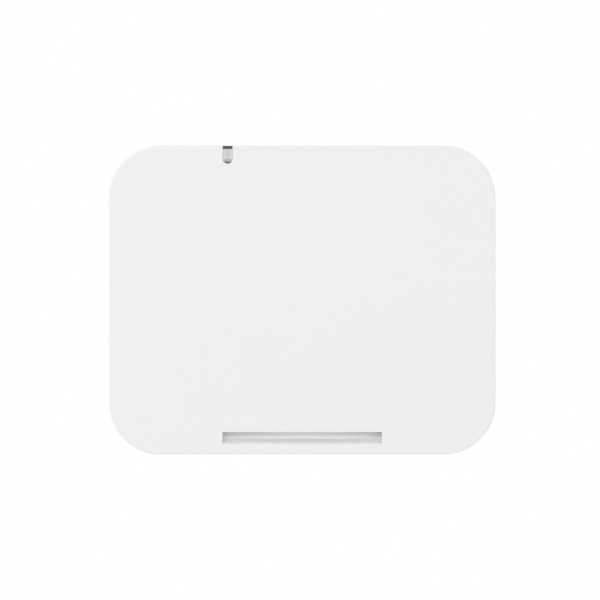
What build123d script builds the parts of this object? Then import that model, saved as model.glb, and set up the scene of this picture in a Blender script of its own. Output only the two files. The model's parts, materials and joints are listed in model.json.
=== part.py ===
"""A ceiling and wall access point: a flat white case with rounded corners, hung on a steel bracket.

Frame: +X right, +Z up, and the front faces -Y. The origin is on the wall plane (y = 0), at the
centre of the bracket's back face. A place along Y is given as a depth, its distance in front of the
wall, so a point at depth d has y = -d. Everything is in millimetres.
"""

import os

from build123d import *

os.makedirs("parts", exist_ok=True)

# --- Case: outline and depths --------------------------------------------------------------------
WIDTH, HEIGHT, CORNER_R = 200.0, 160.0, 27.25
FRONT = 38.5  # the front face
SPLIT = 15.5  # the seam between the cover and the housing
TAPER_START = 10.0  # the housing narrows behind this depth
REAR = 1.0  # the housing's rear face, just clear of the wall
REAR_INSET = 10.0  # how far the taper draws each side in
SEAM_STEP = 0.3  # the housing is this much smaller all round, which makes a fine shadow line
COVER_WALL, COVER_DRAFT, FRONT_FILLET = 2.4, 0.5, 1.2  # draft in degrees
HOUSING_WALL, TAPER_WALL, TAPER_FILLET, REAR_FILLET, RIM_CHAMFER = 2.5, 3.2, 4.0, 2.0, 0.4
LIP_HEIGHT, LIP_WALL, LIP_GAP, RIM_WALL = 2.0, 1.2, 0.2, 1.1
PEDESTAL_MARGIN = 1.0  # a heat pedestal is this much smaller all round than its shield

# --- Gaps and allowances -------------------------------------------------------------------------
FIT_GAP = 0.02  # between a screw and its hole
RUNNING_GAP = 0.05  # between a moving piece and its bore
SEAT_GAP = 0.1  # around a socket, and behind a foot or a boss
CLEARANCE = 0.2  # around a screw that passes through, a screw's head or a foot
OVERLAP = 0.5  # how far solids that join into one piece run into one another
MARGIN = 1.0  # how far a cut, or a search for edges, runs past its face

# --- Internal layers, as depths ------------------------------------------------------------------
COVER_INNER = FRONT - COVER_WALL
CAVITY_FLOOR = REAR + HOUSING_WALL
NEST_FLOOR = 4.5  # floor of the recess that takes the bracket
NEST_INNER = NEST_FLOOR + HOUSING_WALL
PEDESTAL_TOP = 15.5
BAY_FLOOR = 16.8
BOARD_REAR, BOARD_FRONT = 19.0, 20.6
PLATE_REAR, PLATE_FRONT = 26.4, 27.2

# --- Status window and grip slot in the front face -----------------------------------------------
WINDOW_X, WINDOW_WIDTH, WINDOW_HEIGHT = -38.45, 5.1, 9.6
WINDOW_REAR = 31.0  # the notch runs back to here through the top wall
WINDOW_GAP = 0.05  # between the notch and what fills it
LENS_TOP, LENS_BOTTOM, LENS_REAR, LENS_FRONT = 77.95, 71.2, 33.5, 38.3
LENS_EDGE_R, LENS_SEAT_INSET = 0.2, 0.5
BEZEL_TOP, BEZEL_FRONT = 79.55, 37.3
BEZEL_FLANGE_OVERHANG, BEZEL_FLANGE_Z, BEZEL_FLANGE_REAR = 2.0, (68.6, 75.4), 34.5
PIPE_HALF_WIDTH, PIPE_Z, PIPE_REAR = 1.4, (72.2, 74.6), 22.4
SLOT_WIDTH, SLOT_HEIGHT, SLOT_FROM_BOTTOM = 82.2, 5.1, 6.8
SLOT_DRAFT, SLOT_LIP_R = 1.0, 0.4  # the lower wall drops this much on its way out, and is rounded there
TRIM_HALF_WIDTH, TRIM_Z, TRIM_REAR, TRIM_CORNER_R = 45.0, (-76.4, -65.6), 29.0, 2.0
TRIM_UPPER_ENDS, TRIM_UPPER_MIDDLE = 32.8, 34.7  # the floor's depths along its upper edge
TRIM_LOWER_ENDS, TRIM_LOWER_MIDDLE = 36.3, 36.8  # and along its lower edge: it slopes and bows forwards
TRIM_STEP, TRIM_STEP_HEIGHT = 35.15, 1.75  # a flat band, set back at this depth, runs below the floor

# --- Bracket, its studs and its nest in the housing ----------------------------------------------
BRACKET_WIDTH, BRACKET_HEIGHT, BRACKET_CORNER_R, SHEET = 116.0, 100.0, 8.0, 1.5
FLANGE_FRONT, FLANGE_HALF_HEIGHT = 3.7, 38.0
SLIDE_TRAVEL = 10.0  # the case lifts this far to come off the studs
NEST_HALF_WIDTH, NEST_TOP, NEST_BOTTOM, NEST_CORNER_R = 59.2, 51.5, -61.0, 6.0
STUD_X, STUD_Z = 50.0, 36.0
STUD_TAIL_R, STUD_SHOULDER_R, STUD_NECK_R, STUD_HEAD_R = 2.0, 3.8, 2.3, 4.1
STUD_SHOULDER, STUD_NECK, STUD_HEAD = 4.4, 6.3, 8.0  # depths where each step ends
KEYHOLE_SLOT_R, KEYHOLE_ENTRY_R, KEYHOLE_POCKET_R = 2.6, 4.7, 4.9
KEYHOLE_LIP, KEYHOLE_POCKET, KEYHOLE_WALL = 6.1, 10.0, 1.6  # two depths and a wall
KEYHOLE_REST_GAP = 0.05  # between a stud's neck and the slot's end that hangs on it
KEYHOLE_CORNER_R, STUD_CHAMFER, STUD_TAIL_RECESS = 3.0, 0.6, 0.1
TONGUE_X, TONGUE_Z, TONGUE_SIZE, TONGUE_SLIT = 46.0, 2.0, (9.0, 26.0), 1.2
DIMPLE_R, DIMPLE_FRONT, DIMPLE_FROM_TIP, DIMPLE_ROUND = 2.2, 4.2, 5.0, 1.0
BEND_R, PRESS_CHAMFER, BRACKET_WINDOW_R = 1.2, 0.2, 4.0
WALL_SLOT_X, WALL_SLOT_Z, WALL_SLOT_R, WALL_SLOT_LENGTH = 30.0, 44.0, 2.25, 9.0
BOX_SCREW_Z, BOX_SCREW_R = 41.65, 2.1
CABLE_WINDOW, CABLE_WINDOW_Z = (68.0, 28.0), -22.0
LABEL_WINDOW, LABEL_WINDOW_Z = (62.0, 22.0), 23.0
LABEL_SIZE, LABEL_THICKNESS, LABEL_CORNER_R = (52.0, 16.0), 0.2, 1.5

# --- Port bay and the sockets that open into it --------------------------------------------------
BAY_HALF_WIDTH, BAY_TOP, BAY_BOTTOM, BAY_WALL = 42.5, -18.0, -58.5, 1.8
FIN_COUNT, FIN_PITCH, FIN_FIRST_X = 5, 4.4, 66.0
FIN_GROOVE_WIDTH, FIN_GROOVE_DEPTH, FIN_HALF_HEIGHT = 2.0, 1.3, 42.0
LOCK_SLOT_Z, LOCK_SLOT_DEPTHS, LOCK_SLOT_REACH = (-33.5, -26.5), (11.2, 14.2), 4.0
CABLE_NOTCH_HALF_WIDTH, CABLE_NOTCH_FLOOR, CABLE_NOTCH_WALL = 5.0, 10.0, 1.6
SOCKET_FACE = BAY_TOP + 0.2  # the sockets stop just inside the bay's top wall
UPLINK_X, LAN_X, DC_X, RESET_X = -29.0, -9.0, 12.0, 30.0
JACK_WIDTH, JACK_LENGTH, JACK_REAR, JACK_SKIN = 16.0, 21.0, 7.4, 0.3
PLUG_WIDTH, PLUG_REAR, PLUG_FRONT, PLUG_REACH = 11.9, 9.9, 16.4, 13.0
LATCH_WIDTH, LATCH_REAR = 6.2, 8.3
CONTACT_COUNT, CONTACT_PITCH, CONTACT_WIDTH, CONTACT_SHEET, CONTACT_REACH = 8, 1.02, 0.35, 0.4, 1.2
CONTACT_FROM_FACE, CONTACT_TIP_GAP, CONTACT_SLIT_DEPTH = 2.0, 2.0, 0.8
DC_BODY, DC_LENGTH, DC_DEPTH, DC_CHAMFER = 9.0, 14.0, 12.9, 1.0
DC_BORE_R, DC_BORE_LENGTH, DC_PIN_R, DC_PIN_SETBACK, DC_PIN_ROOT, DC_PIN_ROUND = 3.1, 9.5, 1.05, 1.2, 3.0, 0.5
RESET_DEPTH, RESET_R, RESET_TIP_R, RESET_TRAVEL = 12.5, 1.3, 0.3, 0.5
RESET_COLLAR_R, RESET_COLLAR_HEIGHT = 2.2, 1.0
RESET_SWITCH_GAP, RESET_SWITCH_HALF, RESET_SWITCH_HEIGHT = 0.4, 3.5, 4.6
RESET_PLUNGE, RESET_WELL = 0.6, 2.0  # how far the button stands in the switch's well at rest

# --- Board, shields, antenna plate and fasteners -------------------------------------------------
BOARD_WIDTH, BOARD_HEIGHT, BOARD_CORNER_R = 148.0, 150.0, 3.0
PLATE_WIDTH, PLATE_HEIGHT, PLATE_CORNER_R = 148.0, 130.0, 4.0
PLATE_WINDOW_X, PLATE_WINDOW_Z, PLATE_WINDOW_R = (-12.0, 12.0), (-50.0, -38.0), 3.0
POST_X, POST_Z, POST_R, POST_HOLE_DEPTH = 68.0, 60.0, 3.5, 7.0
SIDE_POST_X, SIDE_POST_Z = 54.0, -8.0
CASE_SCREW_X, CASE_SCREW_Z, CASE_SCREW_R, CASE_SCREW_BITE = 80.0, 60.0, 1.5, 12.0
CASE_BOSS_R, CASE_BOSS_TOP, COVER_BOSS_R = 6.4, 12.0, 4.0
FOOT_R, FOOT_REAR, FOOT_FRONT, FOOT_EDGE_R = 4.4, 0.2, 3.2, 0.6
CASE_HEAD_R, CASE_HEAD, CASE_RECESS_R, CASE_RECESS_DEPTH = 2.8, (3.5, 5.9), 1.5, 1.4
BOARD_SCREW_R, BOARD_HEAD_R, BOARD_HEAD_HEIGHT = 1.25, 2.4, 1.6
BOARD_RECESS_R, BOARD_RECESS_DEPTH = 1.3, 0.9
PLATE_SCREW_BITE, BOARD_SCREW_BITE = 3.5, 5.5
STANDOFF_R, STANDOFF_TAIL, STANDOFF_THREAD = 2.6, 6.0, 4.0
SHIELD_Z, SHIELD_HEIGHT, SHIELD_SKIN, SHIELD_CORNER_R = 34.0, 2.5, 0.3, 1.0
SHIELDS = {"processor": (0.0, 46.0, 38.0), "radio_left": (-48.0, 34.0, 34.0), "radio_right": (48.0, 34.0, 34.0)}
PAD_THICKNESS, PAD_MARGIN = 1.0, 3.0
CHIP_SIZES = {"processor": 21.0, "radio_left": 12.0, "radio_right": 12.0}
CHIP_HEIGHT, CHIP_CHAMFER = 1.4, 0.3
MEMORY_X, MEMORY_Z, MEMORY_HEIGHT = (13.0, 21.0), (28.0, 40.0), 1.0
LED_Z, LED_HALF, LED_HEIGHT, LED_LENS_R, LED_LENS_HEIGHT = 73.3, 1.4, 1.2, 1.1, 0.3
MAGNETICS_HALF_WIDTH, MAGNETICS_Z, MAGNETICS_HEIGHT, MAGNETICS_EDGE = 7.5, (4.4, 13.6), 5.4, 0.5
CAPACITOR_PLACES, CAPACITOR_R, CAPACITOR_HEIGHT = [(11.0, 6.0), (22.0, 6.0), (33.0, 6.0)], 4.0, 9.5
CAPACITOR_BASE, CAPACITOR_BASE_HALF, CAPACITOR_TOP_R = 0.8, 4.2, 0.5
INDUCTOR_PLACES, INDUCTOR_CORNER_R = [(-43.0, 6.0), (-43.0, -4.0)], 1.5
INDUCTOR_HALF, INDUCTOR_HEIGHT = 4.0, 4.0

# --- Antennas and their leads --------------------------------------------------------------------
ANTENNA_X, ANTENNA_Z = 46.0, 38.0
ANTENNA_IN, ANTENNA_OUT, ANTENNA_FOOT = 12.0, 14.0, 10.0  # towards the middle, outwards, and the foot
ANTENNA_FOOT_HALF, ANTENNA_PATCH_HALF = 6.0, 9.0
ANTENNA_SHEET, ANTENNA_RISE = 0.4, 5.6
ANTENNA_SLOT_Z, ANTENNA_SLOT_HALF, ANTENNA_SLOT_START, ANTENNA_SLOT_MARGIN = 4.0, 0.8, 14.0, 3.0
LEAD_START, LEAD_HOLE_X, LEAD_HOLE_R = 3.0, 27.0, 2.5
LEAD_OVER_PLATE, LEAD_OVER_BOARD = 1.4, 0.9
COAX_R, COAX_BEND_R = 0.7, 2.2
LEAD_PLUG_X, LEAD_PLUG_R, LEAD_PLUG_HEIGHT = 12.0, 1.35, 1.8
IOT_X, IOT_Z, IOT_HEIGHT = (60.0, 70.0), (-45.0, -42.0), 3.5


def at_depth(depth):
    """The plane parallel to the wall at this depth: its x is +X, its y is +Z, its normal is forwards."""
    return Plane.XZ.offset(depth)


def corners(x, z):
    """Four places, mirrored left to right and top to bottom."""
    return [(-x, z), (x, z), (-x, -z), (x, -z)]


def grown(ends, gap):
    """A pair of ends moved apart by a gap at each side."""
    return (ends[0] - gap, ends[1] + gap)


def slab(profile, depths, mode=Mode.ADD):
    """Extrudes a profile, drawn by a function, from one depth to another."""
    with BuildSketch(at_depth(depths[0])) as outline:
        profile()
    extrude(outline.sketch, amount=depths[1] - depths[0], mode=mode)


def block(x_ends, z_ends, depths, mode=Mode.ADD, corner=0.0):
    """A rectangular block between its ends, with its depth-wise edges rounded where asked."""
    with BuildSketch(at_depth(depths[0])) as outline:
        with Locations(((x_ends[0] + x_ends[1]) / 2, (z_ends[0] + z_ends[1]) / 2)):
            size = (x_ends[1] - x_ends[0], z_ends[1] - z_ends[0])
            if corner:
                RectangleRounded(*size, corner)
            else:
                Rectangle(*size)
    extrude(outline.sketch, amount=depths[1] - depths[0], mode=mode)


def discs(places, radius, depths, mode=Mode.ADD):
    """Round bars along the depth, one at each (x, z) place."""
    with BuildSketch(at_depth(depths[0])) as outline:
        with Locations(*places):
            Circle(radius)
    extrude(outline.sketch, amount=depths[1] - depths[0], mode=mode)


def edges_at_depth(builder, depth):
    """The edges of a piece that lie at one depth."""
    return builder.edges().filter_by_position(Axis.Y, -depth - FIT_GAP, -depth + FIT_GAP)


def upright_bar(x, depth, radius, z_ends, mode=Mode.ADD):
    """A round bar along Z."""
    with BuildSketch(Plane.XY.offset(z_ends[0])) as outline:
        with Locations((x, -depth)):
            Circle(radius)
    extrude(outline.sketch, amount=z_ends[1] - z_ends[0], mode=mode)


def keyhole(x, z, slot_r, entry_r, depths):
    """A keyhole cut: a slot whose upper end holds the stud, with its round entry one travel below."""
    entry_z = z - SLIDE_TRAVEL
    end_z = z - (KEYHOLE_SLOT_R - STUD_NECK_R) + KEYHOLE_REST_GAP
    discs([(x, entry_z)], entry_r, depths, Mode.SUBTRACT)
    discs([(x, end_z)], slot_r, depths, Mode.SUBTRACT)
    block((x - slot_r, x + slot_r), (entry_z, end_z), depths, Mode.SUBTRACT)


def finish(builder, name):
    """Names a finished piece and writes it to its own file."""
    builder.part.label = name
    export_step(builder.part, f"parts/{name}.step")


# === Front cover =================================================================================
slot_bottom = -HEIGHT / 2 + SLOT_FROM_BOTTOM
slot_top = slot_bottom + SLOT_HEIGHT
window_bottom = HEIGHT / 2 - WINDOW_HEIGHT


def window_outline(gap, top):
    """The status notch: straight sides, open at the top, with a round lower end."""
    radius = WINDOW_WIDTH / 2 - gap
    centre_z = window_bottom + WINDOW_WIDTH / 2
    with Locations((WINDOW_X, centre_z)):
        Circle(radius)
    with Locations((WINDOW_X, (centre_z + top) / 2)):
        Rectangle(2 * radius, top - centre_z)


with BuildPart() as front_cover:
    with BuildSketch(at_depth(SPLIT)):
        RectangleRounded(WIDTH, HEIGHT, CORNER_R)
    extrude(amount=FRONT - SPLIT, taper=COVER_DRAFT)
    fillet(front_cover.faces().sort_by(Axis.Y)[0].edges(), FRONT_FILLET)
    # The hollow behind the face, drafted as the outside is.
    with BuildSketch(at_depth(SPLIT)):
        RectangleRounded(WIDTH - 2 * COVER_WALL, HEIGHT - 2 * COVER_WALL, CORNER_R - COVER_WALL)
    extrude(amount=COVER_INNER - SPLIT, taper=COVER_DRAFT, mode=Mode.SUBTRACT)
    # A rebate inside the rim takes the housing's lip.
    with BuildSketch(at_depth(SPLIT)):
        RectangleRounded(WIDTH - 2 * RIM_WALL, HEIGHT - 2 * RIM_WALL, CORNER_R - RIM_WALL)
    extrude(amount=LIP_HEIGHT + LIP_GAP, mode=Mode.SUBTRACT)
    # Screw bosses with pilot holes.
    discs(corners(CASE_SCREW_X, CASE_SCREW_Z), COVER_BOSS_R, (CASE_BOSS_TOP + SEAT_GAP, COVER_INNER + OVERLAP))
    pilot_depths = (CASE_BOSS_TOP, CASE_BOSS_TOP + CASE_SCREW_BITE + MARGIN)
    discs(corners(CASE_SCREW_X, CASE_SCREW_Z), CASE_SCREW_R + FIT_GAP, pilot_depths, Mode.SUBTRACT)
    # The status notch, and the grip slot, whose lower wall slopes out to the face.
    slab(lambda: window_outline(0.0, HEIGHT / 2 + MARGIN), (WINDOW_REAR, FRONT + MARGIN), Mode.SUBTRACT)
    slot_lip = slot_bottom - SLOT_DRAFT
    with BuildSketch(Plane.YZ.offset(-SLOT_WIDTH / 2)):
        with BuildLine():
            lower_wall = Line((-COVER_INNER, slot_bottom), (-FRONT, slot_lip))
            Polyline(
                lower_wall @ 1,
                (-FRONT - MARGIN, slot_lip),
                (-FRONT - MARGIN, slot_top),
                (-COVER_INNER + MARGIN, slot_top),
                (-COVER_INNER + MARGIN, slot_bottom),
                lower_wall @ 0,
            )
        make_face()
    extrude(amount=SLOT_WIDTH, mode=Mode.SUBTRACT)
    front_edges = edges_at_depth(front_cover, FRONT).filter_by(Axis.X)
    fillet(front_edges.filter_by_position(Axis.Z, *grown((slot_lip, slot_lip), FIT_GAP)), SLOT_LIP_R)
finish(front_cover, "front_cover")


# === Rear housing ================================================================================
case_width, case_height = WIDTH - 2 * SEAM_STEP, HEIGHT - 2 * SEAM_STEP
case_corner_r = CORNER_R - SEAM_STEP
floor_inset = REAR_INSET * (TAPER_START - CAVITY_FLOOR) / (TAPER_START - REAR) + TAPER_WALL
nest_x = (-NEST_HALF_WIDTH, NEST_HALF_WIDTH)
bay_x = (-BAY_HALF_WIDTH, BAY_HALF_WIDTH)
bay_outer_x = (bay_x[0] - BAY_WALL, bay_x[1] + BAY_WALL)
notch_x = (-CABLE_NOTCH_HALF_WIDTH, CABLE_NOTCH_HALF_WIDTH)


def case_section(inset):
    """The housing's outline drawn in by an inset."""
    RectangleRounded(case_width - 2 * inset, case_height - 2 * inset, case_corner_r - min(inset, REAR_INSET))


with BuildPart() as housing_cavity:
    with BuildSketch(at_depth(CAVITY_FLOOR)):
        case_section(floor_inset)
    with BuildSketch(at_depth(TAPER_START)):
        case_section(HOUSING_WALL)
    loft()
    slab(lambda: case_section(HOUSING_WALL), (TAPER_START, SPLIT + MARGIN))
    # The walls of the cable notch stay standing.
    trough_x = (notch_x[0] - CABLE_NOTCH_WALL, notch_x[1] + CABLE_NOTCH_WALL)
    trough_depths = (CAVITY_FLOOR, CABLE_NOTCH_FLOOR + CABLE_NOTCH_WALL)
    block(trough_x, (-HEIGHT / 2, BAY_BOTTOM), trough_depths, Mode.SUBTRACT)

with BuildPart() as rear_housing:
    with BuildSketch(at_depth(REAR)):
        case_section(REAR_INSET)
    with BuildSketch(at_depth(TAPER_START)):
        case_section(0.0)
    loft()
    slab(lambda: case_section(0.0), (TAPER_START, SPLIT))
    fillet(edges_at_depth(rear_housing, TAPER_START), TAPER_FILLET)
    fillet(edges_at_depth(rear_housing, REAR), REAR_FILLET)
    add(housing_cavity.part, mode=Mode.SUBTRACT)
    # The lip that locates the cover.
    lip_inset = RIM_WALL + LIP_GAP - SEAM_STEP
    with BuildSketch(at_depth(SPLIT - OVERLAP)):
        case_section(lip_inset)
        RectangleRounded(
            case_width - 2 * (lip_inset + LIP_WALL),
            case_height - 2 * (lip_inset + LIP_WALL),
            case_corner_r - lip_inset - LIP_WALL,
            mode=Mode.SUBTRACT,
        )
    extrude(amount=LIP_HEIGHT + OVERLAP)
    # The raised floors of the bracket's nest and of the port bay.
    nest_outer_x = (nest_x[0] - HOUSING_WALL, nest_x[1] + HOUSING_WALL)
    nest_outer_z = (NEST_BOTTOM - HOUSING_WALL, NEST_TOP + HOUSING_WALL)
    block(nest_outer_x, nest_outer_z, (CAVITY_FLOOR - OVERLAP, NEST_INNER), corner=NEST_CORNER_R + HOUSING_WALL)
    block(bay_outer_x, (BAY_BOTTOM - BAY_WALL, BAY_TOP + BAY_WALL), (NEST_FLOOR, BAY_FLOOR + BAY_WALL))
    # Heat pedestals under the shields, board posts and case screw bosses.
    for shield_x, shield_width, shield_height in SHIELDS.values():
        pedestal_x = grown((shield_x - shield_width / 2, shield_x + shield_width / 2), -PEDESTAL_MARGIN)
        pedestal_z = grown((SHIELD_Z - shield_height / 2, SHIELD_Z + shield_height / 2), -PEDESTAL_MARGIN)
        block(pedestal_x, pedestal_z, (CAVITY_FLOOR - OVERLAP, PEDESTAL_TOP))
    post_places = corners(POST_X, POST_Z)
    side_post_places = [(-SIDE_POST_X, SIDE_POST_Z), (SIDE_POST_X, SIDE_POST_Z)]
    discs(post_places, POST_R, (CAVITY_FLOOR - OVERLAP, BOARD_REAR))
    discs(side_post_places, POST_R, (NEST_INNER - OVERLAP, BOARD_REAR))
    discs(corners(CASE_SCREW_X, CASE_SCREW_Z), CASE_BOSS_R, (CAVITY_FLOOR - OVERLAP, CASE_BOSS_TOP))
    # Keyhole pockets in front of the nest, one over each bracket stud.
    pocket_r = KEYHOLE_POCKET_R + KEYHOLE_WALL
    pocket_depths = (NEST_INNER - OVERLAP, KEYHOLE_POCKET + KEYHOLE_WALL)
    for x, z in corners(STUD_X, STUD_Z):
        pocket_z = (z - SLIDE_TRAVEL - pocket_r, z + pocket_r)
        block((x - pocket_r, x + pocket_r), pocket_z, pocket_depths, corner=KEYHOLE_CORNER_R)
    # Cuts from behind: nest, bay, cable notch and keyholes.
    block(nest_x, (NEST_BOTTOM, NEST_TOP), (REAR - MARGIN, NEST_FLOOR), Mode.SUBTRACT, NEST_CORNER_R)
    block(bay_x, (BAY_BOTTOM, BAY_TOP), (REAR - MARGIN, BAY_FLOOR), Mode.SUBTRACT)
    notch_z = (-HEIGHT / 2 - MARGIN, BAY_BOTTOM + OVERLAP)
    block(notch_x, notch_z, (REAR - MARGIN, CABLE_NOTCH_FLOOR), Mode.SUBTRACT)
    rim_edges = edges_at_depth(rear_housing, REAR).filter_by_position(Axis.X, *grown(nest_x, MARGIN))
    chamfer(rim_edges.filter_by_position(Axis.Z, *grown((NEST_BOTTOM, NEST_TOP), MARGIN)), RIM_CHAMFER)
    for x, z in corners(STUD_X, STUD_Z):
        keyhole(x, z, KEYHOLE_SLOT_R, KEYHOLE_ENTRY_R, (NEST_FLOOR - OVERLAP, KEYHOLE_LIP + OVERLAP))
        keyhole(x, z, KEYHOLE_POCKET_R, KEYHOLE_POCKET_R, (KEYHOLE_LIP, KEYHOLE_POCKET))
    # Openings in the bay's top wall for the sockets and the reset button.
    bay_wall_z = grown((BAY_TOP, BAY_TOP + BAY_WALL), OVERLAP)
    for x in (UPLINK_X, LAN_X):
        jack_x = grown((x - JACK_WIDTH / 2, x + JACK_WIDTH / 2), SEAT_GAP)
        block(jack_x, bay_wall_z, (JACK_REAR - SEAT_GAP, BAY_FLOOR + BAY_WALL), Mode.SUBTRACT)
    dc_half = DC_BODY / 2 + SEAT_GAP
    dc_depths = (DC_DEPTH - dc_half, BAY_FLOOR + BAY_WALL)
    block((DC_X - dc_half, DC_X + dc_half), bay_wall_z, dc_depths, Mode.SUBTRACT)
    upright_bar(RESET_X, RESET_DEPTH, RESET_R + RUNNING_GAP, bay_wall_z, Mode.SUBTRACT)
    # Screw holes: foot recess, head recess and clearance hole on one axis, then the blind post holes.
    case_screws_at = corners(CASE_SCREW_X, CASE_SCREW_Z)
    discs(case_screws_at, FOOT_R + CLEARANCE, (REAR - MARGIN, FOOT_FRONT + SEAT_GAP), Mode.SUBTRACT)
    foot_rims = edges_at_depth(rear_housing, REAR).filter_by(lambda edge: edge.is_closed)
    chamfer(foot_rims, RIM_CHAMFER)
    discs(case_screws_at, CASE_HEAD_R + CLEARANCE, (FOOT_FRONT, CASE_HEAD[1]), Mode.SUBTRACT)
    discs(case_screws_at, CASE_SCREW_R + CLEARANCE, (CASE_HEAD[0], CASE_BOSS_TOP + MARGIN), Mode.SUBTRACT)
    post_hole_depths = (BOARD_REAR - POST_HOLE_DEPTH, BOARD_REAR + MARGIN)
    discs(post_places + side_post_places, BOARD_SCREW_R + FIT_GAP, post_hole_depths, Mode.SUBTRACT)
    # The anti-theft lock slot in the right-hand wall, and the cooling grooves beside the nest.
    lock_slot_x = (WIDTH / 2 - LOCK_SLOT_REACH, WIDTH / 2 + MARGIN)
    block(lock_slot_x, LOCK_SLOT_Z, LOCK_SLOT_DEPTHS, Mode.SUBTRACT)
    groove_places = [(sign * (FIN_FIRST_X + i * FIN_PITCH), 0) for sign in (-1, 1) for i in range(FIN_COUNT)]
    with BuildSketch(at_depth(REAR - MARGIN)):
        with Locations(*groove_places):
            SlotOverall(2 * FIN_HALF_HEIGHT, FIN_GROOVE_WIDTH, rotation=90)
    extrude(amount=FIN_GROOVE_DEPTH + MARGIN, mode=Mode.SUBTRACT)
finish(rear_housing, "rear_housing")

# === Status window: bezel and light pipe =========================================================
pipe_x = (WINDOW_X - PIPE_HALF_WIDTH, WINDOW_X + PIPE_HALF_WIDTH)
lens_z = (LENS_BOTTOM, LENS_TOP)
lens_seat_half = WINDOW_WIDTH / 2 - LENS_SEAT_INSET
lens_seat_x = (WINDOW_X - lens_seat_half, WINDOW_X + lens_seat_half)


def lens_face():
    """The part of the notch that the lens fills, flat at its lower end."""
    window_outline(WINDOW_GAP, LENS_TOP)
    with Locations((WINDOW_X, LENS_BOTTOM - WINDOW_WIDTH / 2)):
        Rectangle(WINDOW_WIDTH, WINDOW_WIDTH, mode=Mode.SUBTRACT)


with BuildPart() as status_bezel:
    slab(lambda: window_outline(WINDOW_GAP, BEZEL_TOP), (WINDOW_REAR + WINDOW_GAP, BEZEL_FRONT))
    flange_half = WINDOW_WIDTH / 2 + BEZEL_FLANGE_OVERHANG
    flange_x = (WINDOW_X - flange_half, WINDOW_X + flange_half)
    block(flange_x, BEZEL_FLANGE_Z, (BEZEL_FLANGE_REAR, COVER_INNER - FIT_GAP))
    block(grown(flange_x, MARGIN), grown(lens_z, FIT_GAP), (COVER_INNER, FRONT), Mode.SUBTRACT)
    block(lens_seat_x, grown(lens_z, FIT_GAP), (LENS_REAR, FRONT), Mode.SUBTRACT)
    block(grown(pipe_x, FIT_GAP), grown(PIPE_Z, FIT_GAP), (WINDOW_REAR, FRONT), Mode.SUBTRACT)
finish(status_bezel, "status_bezel")

with BuildPart() as status_lens:
    slab(lens_face, (COVER_INNER + FIT_GAP, LENS_FRONT))
    fillet(status_lens.faces().sort_by(Axis.Y)[0].edges(), LENS_EDGE_R)
    block(grown(lens_seat_x, -FIT_GAP), lens_z, (LENS_REAR + FIT_GAP, COVER_INNER + 2 * FIT_GAP))
    block(pipe_x, PIPE_Z, (PIPE_REAR, LENS_REAR + 2 * FIT_GAP))
finish(status_lens, "status_lens")

# === Grip slot insert ============================================================================
with BuildPart() as slot_trim:
    trim_depths = (TRIM_REAR, COVER_INNER - FIT_GAP)
    block((-TRIM_HALF_WIDTH, TRIM_HALF_WIDTH), TRIM_Z, trim_depths, corner=TRIM_CORNER_R)
    # A rib stands up into the cover's slot. The sloping, bowed floor is then cut across all of it.
    step_top = slot_bottom + TRIM_STEP_HEIGHT
    slot_x = (-SLOT_WIDTH / 2, SLOT_WIDTH / 2)
    block(grown(slot_x, -RUNNING_GAP), (step_top, slot_top - RUNNING_GAP), (TRIM_STEP - OVERLAP, FRONT))
    sections = (
        (step_top, TRIM_LOWER_ENDS, TRIM_LOWER_MIDDLE),
        (slot_top, TRIM_UPPER_ENDS, TRIM_UPPER_MIDDLE),
    )
    for z, ends, middle in sections:
        with BuildSketch(Plane.XY.offset(z)):
            with BuildLine():
                left, right = (slot_x[0], -ends), (slot_x[1], -ends)
                ThreePointArc(left, (0, -middle), right)
                Polyline(right, (slot_x[1], -FRONT), (slot_x[0], -FRONT), left)
            make_face()
    loft(mode=Mode.SUBTRACT)
    block(slot_x, (slot_bottom, step_top), (TRIM_STEP, FRONT), Mode.SUBTRACT)
finish(slot_trim, "slot_trim")

# === Main board and what is soldered to it =======================================================
with BuildPart() as main_board:
    slab(lambda: RectangleRounded(BOARD_WIDTH, BOARD_HEIGHT, BOARD_CORNER_R), (BOARD_REAR, BOARD_FRONT))
    board_hole_depths = (BOARD_REAR - MARGIN, BOARD_FRONT + MARGIN)
    discs(post_places + side_post_places, BOARD_SCREW_R + CLEARANCE, board_hole_depths, Mode.SUBTRACT)
finish(main_board, "main_board")

with BuildPart() as status_led:
    led_top = BOARD_FRONT + LED_HEIGHT
    led_x, led_z = grown((WINDOW_X, WINDOW_X), LED_HALF), grown((LED_Z, LED_Z), LED_HALF)
    block(led_x, led_z, (BOARD_FRONT, led_top))
    discs([(WINDOW_X, LED_Z)], LED_LENS_R, (led_top, led_top + LED_LENS_HEIGHT))
finish(status_led, "status_led")

for name, (x, width, height) in SHIELDS.items():
    shield_ends = (x - width / 2, x + width / 2), (SHIELD_Z - height / 2, SHIELD_Z + height / 2)
    inner_ends = [grown(ends, -SHIELD_SKIN) for ends in shield_ends]
    inner_depths = (BOARD_REAR - SHIELD_HEIGHT + SHIELD_SKIN, BOARD_REAR)
    with BuildPart() as shield:
        block(*shield_ends, (BOARD_REAR - SHIELD_HEIGHT, BOARD_REAR), corner=SHIELD_CORNER_R)
        block(*inner_ends, inner_depths, Mode.SUBTRACT, SHIELD_CORNER_R - SHIELD_SKIN)
    finish(shield, f"{name}_shield")

    with BuildPart() as pad:
        pad_ends = [grown(ends, -PAD_MARGIN) for ends in shield_ends]
        block(*pad_ends, (PEDESTAL_TOP, PEDESTAL_TOP + PAD_THICKNESS))
    finish(pad, f"{name}_thermal_pad")

    with BuildPart() as chip:
        half = CHIP_SIZES[name] / 2
        block((x - half, x + half), (SHIELD_Z - half, SHIELD_Z + half), (BOARD_REAR - CHIP_HEIGHT, BOARD_REAR))
        chamfer(chip.faces().sort_by(Axis.Y)[-1].edges(), CHIP_CHAMFER)
    finish(chip, f"{name}_chip")

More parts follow.
